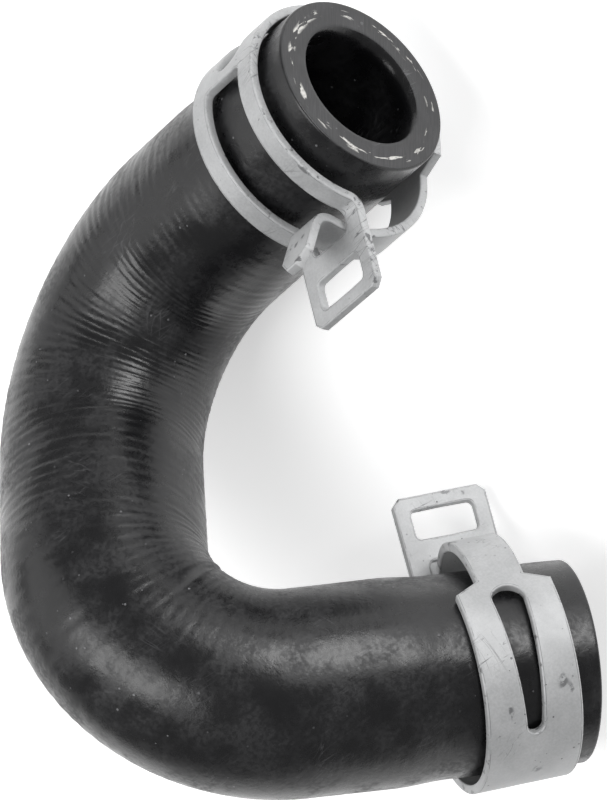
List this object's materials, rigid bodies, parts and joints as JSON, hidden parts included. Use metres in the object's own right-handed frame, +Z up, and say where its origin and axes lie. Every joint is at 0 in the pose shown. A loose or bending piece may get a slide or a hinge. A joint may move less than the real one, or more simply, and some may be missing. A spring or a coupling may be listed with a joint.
{
  "type": "radiator hose",
  "caption": "Moulded rubber coolant hose with two bends in different planes and a sprung steel band clamp round each end.",
  "frame": {"origin": "on the surface that the hose lies on, under the middle of its box", "axes": "+Z up; the hose lies on the outside of its bends, towards -X; the upper mouth faces +X and the lower one faces the surface, towards +X and -Y"},
  "size_m": [0.091, 0.1172, 0.0635],
  "materials": {
    "rubber": "satin black moulded rubber with faint cross ridges from the thread reinforcement",
    "coated_steel": "matte light grey zinc flake coating on spring steel, scuffed"
  },
  "bodies": {
    "root": {"hose": "rubber", "lower_clamp": "coated_steel", "upper_clamp": "coated_steel"}
  },
  "joints": []
}
